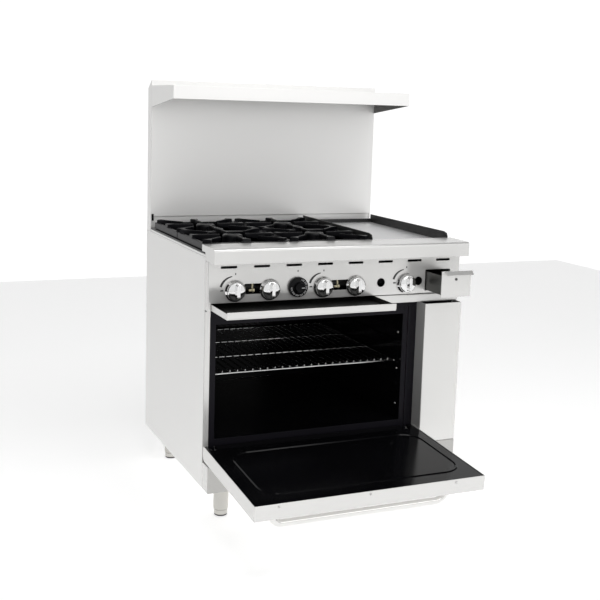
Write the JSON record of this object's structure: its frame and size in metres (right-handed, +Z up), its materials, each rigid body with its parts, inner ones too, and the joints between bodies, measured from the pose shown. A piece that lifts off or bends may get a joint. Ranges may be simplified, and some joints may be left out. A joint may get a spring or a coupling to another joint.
{
  "type": "commercial gas range",
  "caption": "Free-standing commercial gas range with open burners, a griddle, a drop-door oven, a backguard with a high shelf, a crumb tray and a grease drawer.",
  "frame": {"origin": "centre of the footprint at floor level, with the oven door open as stored", "axes": "+Z up, +X to the cook's right, the front and its knobs face -Y"},
  "size_m": [0.914, 1.1704, 1.429],
  "materials": {
    "brushed_stainless": "fine satin brushed stainless sheet",
    "side_panel_steel": "soft satin stainless sheet",
    "leg_steel": "turned satin tube",
    "foot_black": "matt black",
    "black_enamel": "glossy black porcelain enamel",
    "grate_iron": "seasoned matt black casting",
    "griddle_plate_steel": "ground plate steel",
    "splash_steel": "dark blued steel",
    "chrome": "bright chrome",
    "valve_brass": "turned brass",
    "pipe_steel": "dull pipe",
    "dial_black": "moulded black with white numbers"
  },
  "bodies": {
    "chassis": {"backguard": "side_panel_steel", "base_pan": "side_panel_steel", "bullnose_ledge": "brushed_stainless", "burner_front_left": "grate_iron", "burner_front_right": "grate_iron", "burner_rear_left": "grate_iron", "burner_rear_right": "grate_iron", "control_panel": "brushed_stainless", "cooktop_frame": "brushed_stainless", "foot_front_left": "foot_black", "foot_front_right": "foot_black", "foot_rear_left": "foot_black", "foot_rear_right": "foot_black", "front_frame": "black_enamel", "gas_manifold": "pipe_steel", "griddle_burner": "grate_iron", "griddle_plate": "griddle_plate_steel", "griddle_splash": "splash_steel", "high_shelf": "side_panel_steel", "hinge_arm_left": "pipe_steel", "hinge_arm_right": "pipe_steel", "kick_panel": "brushed_stainless", "left_side_panel": "side_panel_steel", "leg_front_left": "leg_steel", "leg_front_right": "leg_steel", "leg_rear_left": "leg_steel", "leg_rear_right": "leg_steel", "lower_front_rail": "brushed_stainless", "oven_burner": "grate_iron", "oven_face_frame": "black_enamel", "oven_floor": "black_enamel", "oven_liner_back": "black_enamel", "oven_liner_left": "black_enamel", "oven_liner_right": "black_enamel", "oven_liner_top": "black_enamel", "oven_thermostat": "valve_brass", "rear_panel": "side_panel_steel", "right_column": "brushed_stainless", "right_side_panel": "side_panel_steel", "valve_front_left": "valve_brass", "valve_front_right": "valve_brass", "valve_griddle": "valve_brass", "valve_rear_left": "valve_brass", "valve_rear_right": "valve_brass"},
    "oven_door": {"door_skin": "brushed_stainless", "door_inner_panel": "black_enamel", "door_handle": "brushed_stainless"},
    "rack": {"oven_rack": "chrome"},
    "tray": {"crumb_tray": "brushed_stainless"},
    "drawer": {"grease_drawer": "brushed_stainless"},
    "grate_a": {"grate_front_left": "grate_iron"},
    "grate_b": {"grate_rear_left": "grate_iron"},
    "grate_c": {"grate_front_right": "grate_iron"},
    "grate_d": {"grate_rear_right": "grate_iron"},
    "knob_a": {"knob_front_left": "chrome"},
    "knob_b": {"knob_rear_left": "chrome"},
    "knob_c": {"knob_front_right": "chrome"},
    "knob_d": {"knob_rear_right": "chrome"},
    "knob_e": {"knob_griddle": "chrome"},
    "dial": {"oven_dial": "dial_black"}
  },
  "joints": [
    {"name": "door_hinge", "type": "hinge", "parent": "chassis", "child": "oven_door", "pos_m": [0, -0.14536, 0.2395], "axis": [-1, 0, 0], "range_deg": [0, 93.1]},
    {"name": "rack_slide", "type": "slide", "parent": "chassis", "child": "rack", "axis": [0, 1, 0], "range_m": [-0.3, 0]},
    {"name": "tray_slide", "type": "slide", "parent": "chassis", "child": "tray", "axis": [0, 1, 0], "range_m": [-0.35, 0.146]},
    {"name": "drawer_slide", "type": "slide", "parent": "chassis", "child": "drawer", "axis": [0, 1, 0], "range_m": [-0.25, 0.113]},
    {"name": "grate_a_lift", "type": "slide", "parent": "chassis", "child": "grate_a", "axis": [0, 0, 1], "range_m": [0, 0.1]},
    {"name": "grate_b_lift", "type": "slide", "parent": "chassis", "child": "grate_b", "axis": [0, 0, 1], "range_m": [0, 0.1]},
    {"name": "grate_c_lift", "type": "slide", "parent": "chassis", "child": "grate_c", "axis": [0, 0, 1], "range_m": [0, 0.1]},
    {"name": "grate_d_lift", "type": "slide", "parent": "chassis", "child": "grate_d", "axis": [0, 0, 1], "range_m": [0, 0.1]},
    {"name": "knob_a_turn", "type": "hinge", "parent": "chassis", "child": "knob_a", "pos_m": [-0.368, -0.16376, 0.769], "axis": [0, -1, 0], "range_deg": [0, 90]},
    {"name": "knob_b_turn", "type": "hinge", "parent": "chassis", "child": "knob_b", "pos_m": [-0.25, -0.16376, 0.769], "axis": [0, -1, 0], "range_deg": [0, 90]},
    {"name": "knob_c_turn", "type": "hinge", "parent": "chassis", "child": "knob_c", "pos_m": [-0.062, -0.16376, 0.769], "axis": [0, -1, 0], "range_deg": [0, 90]},
    {"name": "knob_d_turn", "type": "hinge", "parent": "chassis", "child": "knob_d", "pos_m": [0.056, -0.16376, 0.769], "axis": [0, -1, 0], "range_deg": [0, 90]},
    {"name": "knob_e_turn", "type": "hinge", "parent": "chassis", "child": "knob_e", "pos_m": [0.247, -0.16376, 0.769], "axis": [0, -1, 0], "range_deg": [0, 90]},
    {"name": "dial_turn", "type": "hinge", "parent": "chassis", "child": "dial", "pos_m": [-0.153, -0.16376, 0.773], "axis": [0, -1, 0], "range_deg": [0, 270]}
  ]
}
